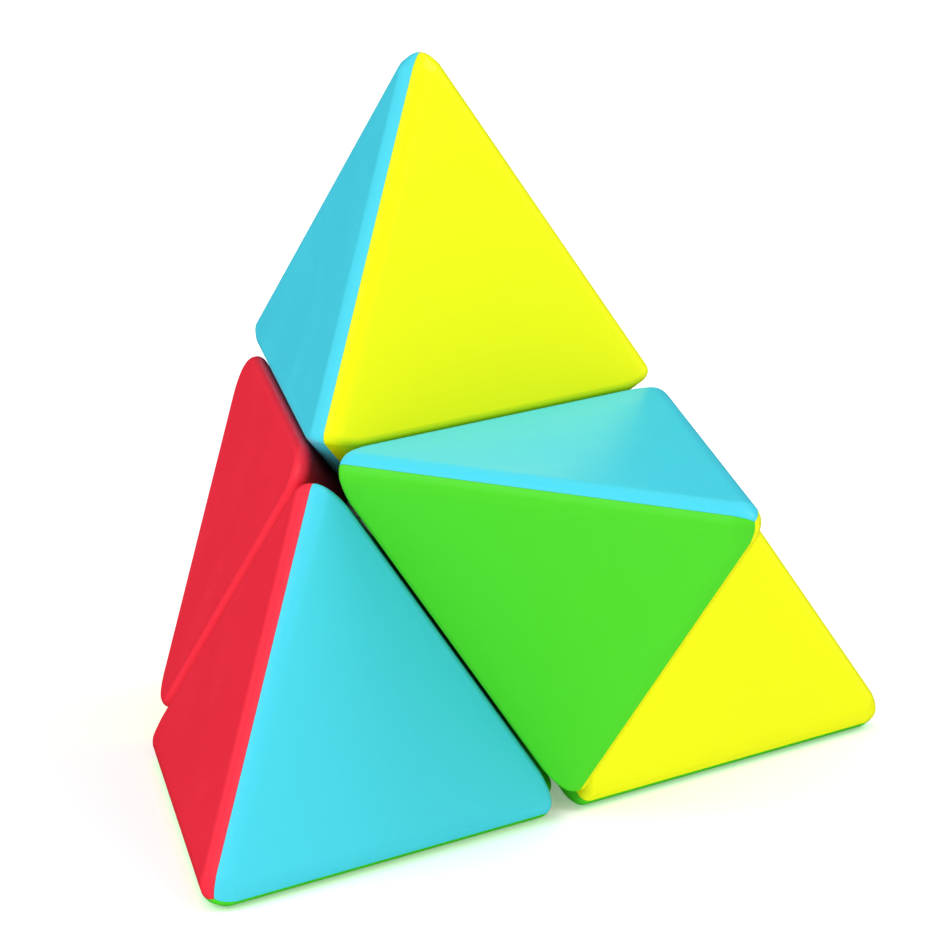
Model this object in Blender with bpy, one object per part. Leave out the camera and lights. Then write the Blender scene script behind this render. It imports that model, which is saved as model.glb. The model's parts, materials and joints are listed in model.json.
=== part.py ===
"""Pyramid twisty puzzle: a four-sided pyramid cut by three planes into eight turning pieces.

The puzzle works like a two-layer cube. Its four corner pieces each carry three coloured
sides, and its four panel pieces carry one flat side. It stands on its green base with one
corner piece turned out of place, so that it bulges from the front right side.

Puzzle axes: x, y and z are the three turning axes and meet at the puzzle's centre. The
pyramid's corners are alternate corners of a cube around them: top (+ + +), right (+ - -),
rear (- + -) and left (- - +). The axes' positive ends rise towards right, rear and left.
World axes: the base lies on z = 0, the origin is under the puzzle's centre, the front
right side of the pyramid looks along -Y, and +Z is up.

Inside is the usual hidden mechanism. A core holds six sprung centre caps. Twelve hidden
edges sit between the caps, and every outer piece has a foot under three of the edges.
All meeting faces are planes square to a turning axis or spheres about the centre, so that
any half turns freely against the other.
"""

import math

import bmesh
import bpy
from mathutils import Matrix, Vector

MM = 0.001

# Outer size
PYRAMID_EDGE = 90.0 * MM
OUTER_EDGE_RADIUS = 2.2 * MM
AXIS_EDGE_RADIUS = 4.2 * MM
RIM_RADIUS = 0.9 * MM
WALL = 1.8 * MM
GAP = 0.3 * MM

# Mechanism: two spherical layers, each cut by planes at a fixed distance from the centre
OUTER_LAYER_RADIUS = 15.5 * MM
MIDDLE_RADIUS = 12.0 * MM
INNER_LAYER_RADIUS = 8.5 * MM
OUTER_LAYER_CUT = 5.2 * MM
INNER_LAYER_CUT = 3.4 * MM
CAVITY_CLEARANCE = 0.4 * MM

# Core and its six sprung screws
CORE_RADIUS = 5.5 * MM
POST_RADIUS = 2.6 * MM
POST_END = 7.7 * MM
SCREW_HOLE_RADIUS = 1.4 * MM
SCREW_HOLE_FLOOR = 3.7 * MM
SCREW_RADIUS = 1.1 * MM
SCREW_TIP = 4.0 * MM
SCREW_HEAD_RADIUS = 2.3 * MM
SCREW_HEAD_FLOOR = 13.4 * MM
SCREW_HEAD_TOP = 14.9 * MM
DRIVE_WIDTH = 0.6 * MM
DRIVE_LENGTH = 2.8 * MM
DRIVE_DEPTH = 0.6 * MM
SPRING_WIRE_RADIUS = 0.25 * MM
SPRING_COIL_RADIUS = 1.95 * MM
SPRING_TURNS = 3
POCKET_RADIUS = 2.6 * MM
POCKET_FLOOR = 10.0 * MM

# Inner block that the coloured sides of a corner piece clip round, and a panel's boss
BLOCK_TOP = 27.0 * MM
BOSS_RADIUS = 2.2 * MM
PANEL_SKIN = 1.1 * MM

# Fineness
SPHERE_SEGMENTS = 24
CORE_SEGMENTS = 16
ROUND_SEGMENTS = 12
SPRING_POINTS_PER_TURN = 8
OUTER_EDGE_STEPS = 3
AXIS_EDGE_STEPS = 4
RIM_CUTS = 1
MERGE_DISTANCE = 0.001 * MM
FLAT_ANGLE = math.radians(0.05)

# The largest part of a normal along an axis is 0.58 on an outer face, and 1 on a face that
# is square to an axis
OUTER_FACE_SLOPE = 0.6

# Worked out from the driving dimensions
HALF_CUBE = PYRAMID_EDGE / (2.0 * math.sqrt(2.0))
INRADIUS = HALF_CUBE / math.sqrt(3.0)
HALF_GAP = GAP / 2.0
CAVITY_RADIUS = OUTER_LAYER_RADIUS + CAVITY_CLEARANCE
STOCK = 4.0 * HALF_CUBE
NECK_INSET = 0.05 * MM
DIAGONAL = Vector((1.0, 1.0, 1.0)).normalized()

AXES = (Vector((1, 0, 0)), Vector((0, 1, 0)), Vector((0, 0, 1)))
AXIS_NAMES = "xyz"

# Rows are the world's X, Y and Z directions in puzzle axes
PUZZLE_FRAME = Matrix.Translation((0.0, 0.0, INRADIUS)) @ Matrix(
    (
        Vector((1, 0, -1)).normalized(),
        Vector((-1, 2, -1)).normalized(),
        DIAGONAL,
    )
).to_4x4()

# Finishes: sRGB colour, roughness, metallic
FINISHES = {
    "yellow": ((0.97, 0.98, 0.10), 0.32, 0.0),
    "cyan": ((0.29, 0.84, 0.91), 0.32, 0.0),
    "green": ((0.32, 0.88, 0.20), 0.32, 0.0),
    "red": ((0.88, 0.19, 0.26), 0.32, 0.0),
    "black_plastic": ((0.05, 0.05, 0.055), 0.45, 0.0),
    "screw_steel": ((0.62, 0.62, 0.64), 0.30, 1.0),
    "spring_steel": ((0.70, 0.69, 0.66), 0.28, 1.0),
}

# Corner pieces: signs of the octant, and the colours of the sides beside its x, y and z planes
CORNERS = {
    "top_corner": ((1, 1, 1), ("cyan", "yellow", "red")),
    "right_corner": ((1, -1, -1), ("green", "red", "yellow")),
    "left_corner": ((-1, -1, 1), ("cyan", "red", "green")),
    "bulging_corner": ((1, -1, 1), ("green", "cyan", "yellow")),
}

# Panel pieces: signs of the octant, and colour
PANELS = {
    "left_panel": ((-1, 1, 1), "red"),
    "back_panel": ((1, 1, -1), "cyan"),
    "rear_panel": ((-1, 1, -1), "yellow"),
    "bottom_panel": ((-1, -1, -1), "green"),
}

# Empties that carry what turns. Each is named for the positive halves it belongs to, and
# gives the empty it turns against; what is in no positive half stays with the core.
TURNING_PARENTS = {
    "x": None,
    "y": None,
    "z": None,
    "xy": "x",
    "yz": "y",
    "xz": "z",
    "xyz": "xy",
}


def clear_scene():
    """Remove every object in the scene."""
    for thing in list(bpy.data.objects):
        bpy.data.objects.remove(thing, do_unlink=True)


def make_material(name, colour, roughness, metallic):
    """Make a Principled material from an sRGB colour."""
    material = bpy.data.materials.new(name)
    material.use_nodes = True
    shader = material.node_tree.nodes["Principled BSDF"]
    linear = [channel**2.2 for channel in colour]
    shader.inputs["Base Color"].default_value = (*linear, 1.0)
    shader.inputs["Roughness"].default_value = roughness
    shader.inputs["Metallic"].default_value = metallic
    return material


# Solids. Each is a bmesh in puzzle axes until finish() turns it into a mesh.


def cut_by_planes(solid, planes):
    """Keep the part of a closed solid below every plane, given as (normal, distance)."""
    for normal, distance in planes:
        direction = normal.normalized()
        cut = bmesh.ops.bisect_plane(
            solid,
            geom=solid.verts[:] + solid.edges[:] + solid.faces[:],
            dist=1e-7,
            plane_co=direction * distance,
            plane_no=direction,
            clear_outer=True,
        )
        rim = [part for part in cut["geom_cut"] if isinstance(part, bmesh.types.BMEdge)]
        bmesh.ops.holes_fill(solid, edges=rim, sides=0)
    return solid


def block_within(planes):
    """Make the convex solid that lies below every plane."""
    solid = bmesh.new()
    bmesh.ops.create_cube(solid, size=STOCK)
    return cut_by_planes(solid, planes)


def ball(radius, segments=SPHERE_SEGMENTS):
    """Make a faceted ball about the puzzle's centre, with no meridian at 45 degrees."""
    solid = bmesh.new()
    bmesh.ops.create_uvsphere(
        solid,
        u_segments=segments,
        v_segments=segments // 2,
        radius=radius,
        matrix=Matrix.Rotation(math.pi / segments, 4, "Z"),
    )
    return solid


def rod(direction, radius, start, end):
    """Make a round rod along a direction from the centre, between two distances from it."""
    turn = Vector((0, 0, 1)).rotation_difference(direction).to_matrix().to_4x4()
    middle = Matrix.Translation(direction.normalized() * (start + end) / 2.0)
    solid = bmesh.new()
    bmesh.ops.create_cone(
        solid,
        cap_ends=True,
        segments=ROUND_SEGMENTS,
        radius1=radius,
        radius2=radius,
        depth=end - start,
        matrix=middle @ turn,
    )
    return solid


def bar(size, centre):
    """Make a rectangular bar of a given size at a given place."""
    solid = bmesh.new()
    placed = Matrix.Translation(centre) @ Matrix.Diagonal((*size, 1.0))
    bmesh.ops.create_cube(solid, size=1.0, matrix=placed)
    return solid


def finish(solid, name):
    """Turn a bmesh solid into a mesh whose faces point out."""
    bmesh.ops.recalc_face_normals(solid, faces=solid.faces)
    mesh = bpy.data.meshes.new(name)
    solid.to_mesh(mesh)
    solid.free()
    return mesh


def apply_modifiers(thing):
    """Return the mesh of an object with its modifiers applied, and remove the object."""
    evaluated = thing.evaluated_get(bpy.context.evaluated_depsgraph_get())
    solid = bmesh.new()
    solid.from_mesh(bpy.data.meshes.new_from_object(evaluated))
    bmesh.ops.remove_doubles(solid, verts=solid.verts, dist=MERGE_DISTANCE)
    bpy.data.objects.remove(thing, do_unlink=True)
    return finish(solid, "applied")


def combine(name, base, steps):
    """Join solids to a mesh or cut them from it. Steps are pairs of operation and mesh."""
    thing = bpy.data.objects.new(name, base)
    bpy.context.collection.objects.link(thing)
    tools = []
    for operation, mesh in steps:
        tool = bpy.data.objects.new(f"{name}_tool", mesh)
        tool.hide_render = True
        tool.display_type = "WIRE"
        bpy.context.collection.objects.link(tool)
        modifier = thing.modifiers.new(operation.title(), "BOOLEAN")
        modifier.operation = operation
        modifier.solver = "EXACT"
        modifier.object = tool
        tools.append(tool)
    result = apply_modifiers(thing)
    result.name = name
    for tool in tools:
        bpy.data.objects.remove(tool, do_unlink=True)
    return result


# Mechanism


def beyond(distance, axes):
    """Planes that keep what is beyond a distance along each of some axes."""
    return [(-AXES[axis], -distance) for axis in axes]


def between(distance, axes):
    """Planes that keep what is within a distance of the centre along each of some axes."""
    return [(sign * AXES[axis], distance) for axis in axes for sign in (1, -1)]


def layer_cell(name, planes, inner, outer):
    """Make the part of a spherical layer that lies below every plane."""
    solid = finish(cut_by_planes(ball(outer), planes), name)
    return combine(name, solid, [("DIFFERENCE", finish(ball(inner), "hollow"))])


def linked_cells(name, far_axes, near_axes, extra_steps=()):
    """Make a mechanism piece: a cell in each layer and the neck that links them.

    The piece lies beyond the layers' cuts along its far axes, and within them along its
    near axes.
    """
    inside_outer = OUTER_LAYER_CUT - HALF_GAP
    outside_outer = OUTER_LAYER_CUT + HALF_GAP
    inside_inner = INNER_LAYER_CUT - HALF_GAP
    outside_inner = INNER_LAYER_CUT + HALF_GAP
    outer_planes = beyond(outside_outer, far_axes) + between(inside_outer, near_axes)
    inner_planes = beyond(outside_inner, far_axes) + between(inside_inner, near_axes)
    neck_planes = beyond(outside_outer + NECK_INSET, far_axes)
    neck_planes += between(inside_inner - NECK_INSET, near_axes)
    outer_cell = layer_cell(
        "outer_cell", outer_planes, MIDDLE_RADIUS + HALF_GAP, OUTER_LAYER_RADIUS
    )
    inner_cell = layer_cell(
        "inner_cell", inner_planes, INNER_LAYER_RADIUS, MIDDLE_RADIUS - HALF_GAP
    )
    neck = layer_cell("neck", neck_planes, MIDDLE_RADIUS - 2 * GAP, MIDDLE_RADIUS + 2 * GAP)
    steps = [("UNION", inner_cell), ("UNION", neck), *extra_steps]
    return combine(name, outer_cell, steps)


def core_mesh():
    """The ball at the centre, with six posts bored for the screws."""
    steps = []
    for axis in AXES:
        for direction in (axis, -axis):
            post = rod(direction, POST_RADIUS, 0.0, POST_END)
            hole = rod(direction, SCREW_HOLE_RADIUS, SCREW_HOLE_FLOOR, POST_END + GAP)
            steps.insert(0, ("UNION", finish(post, "post")))
            steps.append(("DIFFERENCE", finish(hole, "hole")))
    return combine("core", finish(ball(CORE_RADIUS, CORE_SEGMENTS), "core"), steps)


def cap_mesh():
    """The centre cap on the +x axis, with a bore for its screw and a pocket for its spring."""
    bore = rod(AXES[0], SCREW_HOLE_RADIUS, CORE_RADIUS, OUTER_LAYER_RADIUS + GAP)
    pocket = rod(AXES[0], POCKET_RADIUS, POCKET_FLOOR, OUTER_LAYER_RADIUS + GAP)
    holes = [("DIFFERENCE", finish(bore, "bore")), ("DIFFERENCE", finish(pocket, "pocket"))]
    return linked_cells("centre_cap", far_axes=(0,), near_axes=(1, 2), extra_steps=holes)


def screw_mesh():
    """The screw along +x: shank and head, with a cross recess."""
    shank = rod(AXES[0], SCREW_RADIUS, SCREW_TIP, SCREW_HEAD_FLOOR + GAP)
    head = rod(AXES[0], SCREW_HEAD_RADIUS, SCREW_HEAD_FLOOR, SCREW_HEAD_TOP)
    steps = [("UNION", finish(shank, "shank"))]
    for width, height in ((DRIVE_LENGTH, DRIVE_WIDTH), (DRIVE_WIDTH, DRIVE_LENGTH)):
        slot = bar((2 * DRIVE_DEPTH, width, height), AXES[0] * SCREW_HEAD_TOP)
        steps.append(("DIFFERENCE", finish(slot, "slot")))
    return combine("screw", finish(head, "head"), steps)


def spring_mesh():
    """The coil spring round the screw along +x, between the cap's pocket and the head."""
    bottom = POCKET_FLOOR + GAP + SPRING_WIRE_RADIUS
    top = SCREW_HEAD_FLOOR - GAP - SPRING_WIRE_RADIUS
    count = SPRING_TURNS * SPRING_POINTS_PER_TURN
    curve = bpy.data.curves.new("spring", "CURVE")
    curve.dimensions = "3D"
    curve.bevel_depth = SPRING_WIRE_RADIUS
    curve.bevel_resolution = 1
    curve.use_fill_caps = True
    spline = curve.splines.new("POLY")
    spline.points.add(count)
    for index, point in enumerate(spline.points):
        share = index / count
        angle = share * SPRING_TURNS * math.tau
        y = SPRING_COIL_RADIUS * math.cos(angle)
        z = SPRING_COIL_RADIUS * math.sin(angle)
        point.co = (bottom + share * (top - bottom), y, z, 1.0)
    thing = bpy.data.objects.new("spring", curve)
    bpy.context.collection.objects.link(thing)
    return apply_modifiers(thing)


# Outer pieces


def outer_planes(inset):
    """The three pyramid faces that bound the top corner piece, moved inwards."""
    corners_of_cube = (Vector((-1, 1, 1)), Vector((1, -1, 1)), Vector((1, 1, -1)))
    return [(normal, INRADIUS - inset) for normal in corners_of_cube]


def rounded_octant(inset, radius):
    """Planes that keep the + + + octant beyond an inset, its edges along the axes rounded."""
    planes = beyond(inset, (0, 1, 2))
    for first, second in ((0, 1), (1, 2), (0, 2)):
        for step in range(1, AXIS_EDGE_STEPS):
            angle = math.pi / 2.0 * step / AXIS_EDGE_STEPS
            normal = AXES[first] * math.cos(angle) + AXES[second] * math.sin(angle)
            reach = (inset + radius) * (math.cos(angle) + math.sin(angle)) - radius
            planes.append((-normal, -reach))
    return planes


def outer_body(inset):
    """The space within the top corner piece's outer faces, the edges between them rounded."""
    solid = block_within(outer_planes(inset))
    bmesh.ops.recalc_face_normals(solid, faces=solid.faces)
    edges = [
        edge
        for edge in solid.edges
        if all(max(map(abs, face.normal)) < OUTER_FACE_SLOPE for face in edge.link_faces)
    ]
    bmesh.ops.bevel(
        solid,
        geom=edges,
        offset=(OUTER_EDGE_RADIUS - inset) * math.sqrt(2.0),
        offset_type="OFFSET",
        segments=OUTER_EDGE_STEPS,
        profile=0.5,
        affect="EDGES",
        material=-1,
    )
    return solid


def ball_points(radius, cuts):
    """Points all over a ball, with the cube's corner and face directions among them."""
    solid = bmesh.new()
    bmesh.ops.create_cube(solid, size=1.0)
    bmesh.ops.subdivide_edges(solid, edges=solid.edges, cuts=cuts, use_grid_fill=True)
    points = [vert.co.normalized() * radius for vert in solid.verts]
    solid.free()
    return points


def rounded(name, outside):
    """Cut a solid to the + + + octant and round every edge that is left.

    The solid and the octant are made a rim radius too small. The piece is the hull of a
    ball of that radius at each of their corners.
    """
    cut_by_planes(
        outside, rounded_octant(HALF_GAP + RIM_RADIUS, AXIS_EDGE_RADIUS - RIM_RADIUS)
    )
    bmesh.ops.remove_doubles(outside, verts=outside.verts, dist=MERGE_DISTANCE)
    points = ball_points(RIM_RADIUS, RIM_CUTS)
    solid = bmesh.new()
    for corner in outside.verts:
        for point in points:
            solid.verts.new(corner.co + point)
    outside.free()
    hull = bmesh.ops.convex_hull(solid, input=solid.verts)
    inside = set(hull["geom_interior"]) | set(hull["geom_unused"])
    bmesh.ops.delete(solid, geom=list(inside), context="VERTS")
    bmesh.ops.dissolve_limit(
        solid, angle_limit=FLAT_ANGLE, verts=solid.verts, edges=solid.edges
    )
    return finish(solid, name)


def cut_mesh(mesh, planes):
    """Keep the part of a closed mesh below every plane."""
    solid = bmesh.new()
    solid.from_mesh(mesh)
    return finish(cut_by_planes(solid, planes), mesh.name)


def corner_side_mesh():
    """One coloured side of a corner piece: its outer face folded in along the y plane."""
    body = rounded("corner_body", outer_body(RIM_RADIUS))
    hollow_planes = outer_planes(WALL) + rounded_octant(WALL, AXIS_EDGE_RADIUS - WALL)
    hollow = finish(block_within(hollow_planes), "hollow")
    third = [(AXES[1] - AXES[0], -HALF_GAP), (AXES[1] - AXES[2], -HALF_GAP)]
    steps = [("DIFFERENCE", hollow), ("DIFFERENCE", finish(ball(CAVITY_RADIUS), "cavity"))]
    return combine("corner_side", cut_mesh(body, third), steps)


def corner_foot_mesh():
    """A corner piece's foot, with the block that its three coloured sides clip round."""
    inset = WALL + GAP
    planes = outer_planes(inset) + rounded_octant(inset, AXIS_EDGE_RADIUS - inset)
    planes.append((DIAGONAL, BLOCK_TOP))
    block = combine(
        "block",
        finish(block_within(planes), "block"),
        [("DIFFERENCE", finish(ball(CAVITY_RADIUS), "cavity"))],
    )
    planes = beyond(OUTER_LAYER_CUT + HALF_GAP + NECK_INSET, (0, 1, 2))
    stalk = layer_cell("stalk", planes, OUTER_LAYER_RADIUS - GAP, CAVITY_RADIUS + 2 * GAP)
    steps = [("UNION", stalk), ("UNION", block)]
    return linked_cells("corner_foot", (0, 1, 2), (), steps)


def panel_mesh():
    """A panel piece's coloured body, hollowed by the cavity and bored for its boss."""
    body = rounded("panel_body", block_within([(DIAGONAL, INRADIUS - RIM_RADIUS)]))
    recess = rod(DIAGONAL, BOSS_RADIUS + GAP, MIDDLE_RADIUS, INRADIUS - PANEL_SKIN)
    steps = [
        ("DIFFERENCE", finish(ball(CAVITY_RADIUS), "cavity")),
        ("DIFFERENCE", finish(recess, "recess")),
    ]
    return combine("panel", body, steps)


def panel_foot_mesh():
    """A panel piece's foot, with the boss that its coloured body is fixed to."""
    boss = rod(DIAGONAL, BOSS_RADIUS, OUTER_LAYER_RADIUS - 3 * GAP, INRADIUS - PANEL_SKIN - GAP)
    return linked_cells("panel_foot", (0, 1, 2), (), [("UNION", finish(boss, "boss"))])


# Placing. Meshes are made once, for the + + + octant or the +x axis, and turned into place.


def turn_to(images):
    """The turn that takes the puzzle's x, y and z directions to the given ones."""
    return Matrix(images).transposed().to_4x4()


def octant_turn(signs, plane_axis=1):
    """Turn the + + + octant to another, and its y plane to a chosen axis's plane.

    The pieces are alike on both sides of their diagonal, so the x and z directions change
    places where the other octant is a mirror image.
    """
    first, last = (axis for axis in range(3) if axis != plane_axis)
    images = [signs[axis] * AXES[axis] for axis in (first, plane_axis, last)]
    if Matrix(images).determinant() < 0:
        images.reverse()
    return turn_to(images)


def axis_turn(axis, sign):
    """Turn the +x axis to either end of a chosen axis."""
    after, last = AXES[(axis + 1) % 3], AXES[(axis + 2) % 3]
    return turn_to([sign * AXES[axis], after, sign * last])


def edge_turn(far, signs):
    """Turn the x+ y+ hidden edge to the edge beyond two axes, on the given sides."""
    images = [sign * AXES[axis] for axis, sign in zip(far, signs)]
    return turn_to([*images, images[0].cross(images[1])])


def halves(signs):
    """Name the positive halves that a piece belongs to, from its sign on each axis."""
    return "".join(name for name, sign in zip(AXIS_NAMES, signs) if sign > 0)


def side_name(sign):
    """Say which end of an axis a sign means."""
    return "plus" if sign > 0 else "minus"


def make_turning_empties():
    """Make an empty at the puzzle's centre for each thing that turns, parented in order."""
    empties = {}
    for name, parent in TURNING_PARENTS.items():
        empty = bpy.data.objects.new(f"turning_{name}", None)
        bpy.context.collection.objects.link(empty)
        if parent:
            empty.parent = empties[parent]
        else:
            empty.matrix_world = PUZZLE_FRAME
        empties[name] = empty
    return empties


def place(name, mesh, material, turn, carrier):
    """Place a piece with a mesh of its kind, carried by a turning empty or by the core."""
    thing = bpy.data.objects.new(name, mesh.copy())
    thing.data.name = name
    thing.data.materials.clear()
    thing.data.materials.append(material)
    bpy.context.collection.objects.link(thing)
    if carrier:
        thing.parent = carrier
        thing.matrix_basis = turn
    else:
        thing.matrix_world = PUZZLE_FRAME @ turn
    return thing


def place_core_parts(materials, empties):
    """Place the core, and the cap, screw and spring at each of its six ends."""
    cap, screw, spring = cap_mesh(), screw_mesh(), spring_mesh()
    place("core", core_mesh(), materials["black_plastic"], Matrix.Identity(4), None)
    for axis, axis_name in enumerate(AXIS_NAMES):
        for sign in (1, -1):
            end = f"{axis_name}_{side_name(sign)}"
            turn = axis_turn(axis, sign)
            carrier = empties[axis_name] if sign > 0 else None
            place(f"centre_cap_{end}", cap, materials["black_plastic"], turn, carrier)
            place(f"screw_{end}", screw, materials["screw_steel"], turn, None)
            place(f"spring_{end}", spring, materials["spring_steel"], turn, None)


def place_hidden_edges(materials, empties):
    """Place the twelve hidden edges between the centre caps."""
    mesh = linked_cells("hidden_edge", far_axes=(0, 1), near_axes=(2,))
    for far in ((0, 1), (1, 2), (0, 2)):
        for signs in ((1, 1), (1, -1), (-1, 1), (-1, -1)):
            names = [f"{AXIS_NAMES[axis]}_{side_name(sign)}" for axis, sign in zip(far, signs)]
            positive = "".join(AXIS_NAMES[a] for a, sign in zip(far, signs) if sign > 0)
            carrier = empties.get(positive)
            turn = edge_turn(far, signs)
            place("hidden_edge_" + "_".join(names), mesh, materials["black_plastic"], turn, carrier)


def place_outer_pieces(materials, empties):
    """Place the four corner pieces and the four panel pieces."""
    side, corner_foot = corner_side_mesh(), corner_foot_mesh()
    panel, panel_foot = panel_mesh(), panel_foot_mesh()
    for name, (signs, colours) in CORNERS.items():
        carrier = empties.get(halves(signs))
        for axis, colour in enumerate(colours):
            turn = octant_turn(signs, plane_axis=axis)
            place(f"{name}_{colour}_side", side, materials[colour], turn, carrier)
        place(f"{name}_foot", corner_foot, materials["black_plastic"], octant_turn(signs), carrier)
    for name, (signs, colour) in PANELS.items():
        carrier = empties.get(halves(signs))
        turn = octant_turn(signs)
        place(name, panel, materials[colour], turn, carrier)
        place(f"{name}_foot", panel_foot, materials["black_plastic"], turn, carrier)


def main():
    """Build the whole puzzle."""
    clear_scene()
    materials = {name: make_material(name, *values) for name, values in FINISHES.items()}
    empties = make_turning_empties()
    place_core_parts(materials, empties)
    place_hidden_edges(materials, empties)
    place_outer_pieces(materials, empties)


main()
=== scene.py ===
"""Looks of the pyramid twisty puzzle: its moulded pieces, its mechanism and a pale studio.

Shapes are made in puzzle axes, where the three turning axes are x, y and z and meet at the
puzzle's centre, and are then placed in the frame's own axes. In puzzle axes the pyramid's
corners are the top (+ + +), right (+ - -), rear (- + -) and left (- - +).
"""

import json
import logging
import math
from collections.abc import Iterable, Sequence
from dataclasses import dataclass
from enum import Enum
from typing import Any

import bmesh
import bpy
from mathutils import Color, Matrix, Vector

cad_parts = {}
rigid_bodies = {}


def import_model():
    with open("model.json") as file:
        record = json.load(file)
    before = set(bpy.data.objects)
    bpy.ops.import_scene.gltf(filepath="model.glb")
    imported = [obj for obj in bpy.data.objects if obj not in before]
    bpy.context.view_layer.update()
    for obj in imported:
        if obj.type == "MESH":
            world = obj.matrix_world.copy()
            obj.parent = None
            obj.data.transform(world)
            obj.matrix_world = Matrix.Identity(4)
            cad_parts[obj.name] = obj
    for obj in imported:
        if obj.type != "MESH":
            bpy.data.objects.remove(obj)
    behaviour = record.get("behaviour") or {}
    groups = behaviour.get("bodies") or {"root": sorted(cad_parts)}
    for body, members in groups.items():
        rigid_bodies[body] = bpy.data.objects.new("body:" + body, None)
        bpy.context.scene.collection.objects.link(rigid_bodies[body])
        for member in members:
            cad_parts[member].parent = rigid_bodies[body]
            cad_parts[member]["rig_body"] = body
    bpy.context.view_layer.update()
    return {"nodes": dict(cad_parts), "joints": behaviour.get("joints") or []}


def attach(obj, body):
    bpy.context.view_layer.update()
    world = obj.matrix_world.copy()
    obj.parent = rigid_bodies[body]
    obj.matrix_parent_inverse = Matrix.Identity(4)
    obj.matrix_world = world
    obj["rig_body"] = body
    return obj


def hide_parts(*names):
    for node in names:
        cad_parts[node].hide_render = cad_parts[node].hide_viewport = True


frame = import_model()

LOG = logging.getLogger("puzzle")
MM = 0.001
RUNNING_GAP = 0.3 * MM

# How finely round shapes are made, and how closely points and angles have to agree
BALL_SEGMENTS = 96
ROD_SEGMENTS = 48
MERGE_DISTANCE = 0.001 * MM
CUT_DISTANCE = 0.0001 * MM
NORMAL_TOLERANCE = 0.001

# Shading: how sharp an edge has to be to stay sharp, and how much flat sides rule the rest
SMOOTH_ANGLE = math.radians(30.0)
FLAT_WEIGHT = 100
FLAT_ANGLE = math.radians(0.05)

# The share of the coarser noise where two noises are mixed
COARSE_SHARE = 0.7

# The sockets of a Mix node that mixes colours: its share and two colours, and its result
MIX_INPUTS = (0, 6, 7)
MIX_OUTPUT = 2

Plane = tuple[Vector, float]
Signs = tuple[int, int, int]

AXES = (Vector((1, 0, 0)), Vector((0, 1, 0)), Vector((0, 0, 1)))
AXIS_NAMES = "xyz"
AXIS_PAIRS = ((0, 1), (1, 2), (0, 2))
DIAGONAL = Vector((1, 1, 1))
AXIS_JOINTS = ("right_half_turn", "rear_half_turn", "left_half_turn")


class Hue(Enum):
    """The colours that the plastic is moulded in."""

    YELLOW = "yellow"
    CYAN = "cyan"
    GREEN = "green"
    RED = "red"

    @property
    def slot(self) -> str:
        """The material slot of plastic in this colour."""
        return f"{self.value}_plastic"


# Corner pieces: their octants, and the colours of the sides beside the x, y and z planes
CORNERS: dict[str, tuple[Signs, tuple[Hue, Hue, Hue]]] = {
    "top_corner": ((1, 1, 1), (Hue.CYAN, Hue.YELLOW, Hue.RED)),
    "right_corner": ((1, -1, -1), (Hue.GREEN, Hue.RED, Hue.YELLOW)),
    "left_corner": ((-1, -1, 1), (Hue.CYAN, Hue.RED, Hue.GREEN)),
    "bulging_corner": ((1, -1, 1), (Hue.GREEN, Hue.CYAN, Hue.YELLOW)),
}

# Panel pieces: their octants and colours
PANELS: dict[str, tuple[Signs, Hue]] = {
    "left_panel": ((-1, 1, 1), Hue.RED),
    "back_panel": ((1, 1, -1), Hue.CYAN),
    "rear_panel": ((-1, 1, -1), Hue.YELLOW),
    "bottom_panel": ((-1, -1, -1), Hue.GREEN),
}


@dataclass(frozen=True)
class PuzzleFrame:
    """Where the puzzle's centre and axes are in the frame, read from its joints."""

    centre: Vector
    axes: tuple[Vector, Vector, Vector]

    @classmethod
    def from_joints(cls, joints: Sequence[dict[str, Any]]) -> "PuzzleFrame":
        """Read the frame from the joints that drive the three halves.

        Args:
            joints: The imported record's joints.

        Returns:
            The puzzle's frame.
        """
        found = {joint["name"]: joint for joint in joints}
        axes = tuple(Vector(found[name]["axis"]).normalized() for name in AXIS_JOINTS)
        return cls(Vector(found[AXIS_JOINTS[0]]["pos_m"]), axes)

    @property
    def inradius(self) -> float:
        """Distance from the centre to the base and to every other flat side."""
        return self.centre.z

    @property
    def half_cube(self) -> float:
        """Half the side of the cube whose alternate corners are the pyramid's corners."""
        return self.inradius * math.sqrt(3.0)

    def to_world(self, turn: Matrix) -> Matrix:
        """Place a shape made in puzzle axes, after turning it about the centre."""
        basis = Matrix(self.axes).transposed().to_4x4()
        return Matrix.Translation(self.centre) @ basis @ turn


PUZZLE = PuzzleFrame.from_joints(frame["joints"])


# Shader graphs


class Value:
    """A number or colour in a shader graph, which Python's operators can work on."""

    def __init__(self, graph: "Graph", socket: bpy.types.NodeSocket) -> None:
        """Wrap an output socket of a graph."""
        self.graph = graph
        self.socket = socket

    def _math(self, operation: str, first: Any, second: Any) -> "Value":
        """Add a Math node on two operands."""
        return self.graph.node("ShaderNodeMath", {"operation": operation}, {0: first, 1: second})

    def __add__(self, other: Any) -> "Value":
        """Add a number or value."""
        return self._math("ADD", self, other)

    __radd__ = __add__

    def __sub__(self, other: Any) -> "Value":
        """Take a number or value away."""
        return self._math("SUBTRACT", self, other)

    def __rsub__(self, other: Any) -> "Value":
        """Take this value away from a number."""
        return self._math("SUBTRACT", other, self)

    def __mul__(self, other: Any) -> "Value":
        """Multiply by a number or value."""
        return self._math("MULTIPLY", self, other)

    __rmul__ = __mul__


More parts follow.
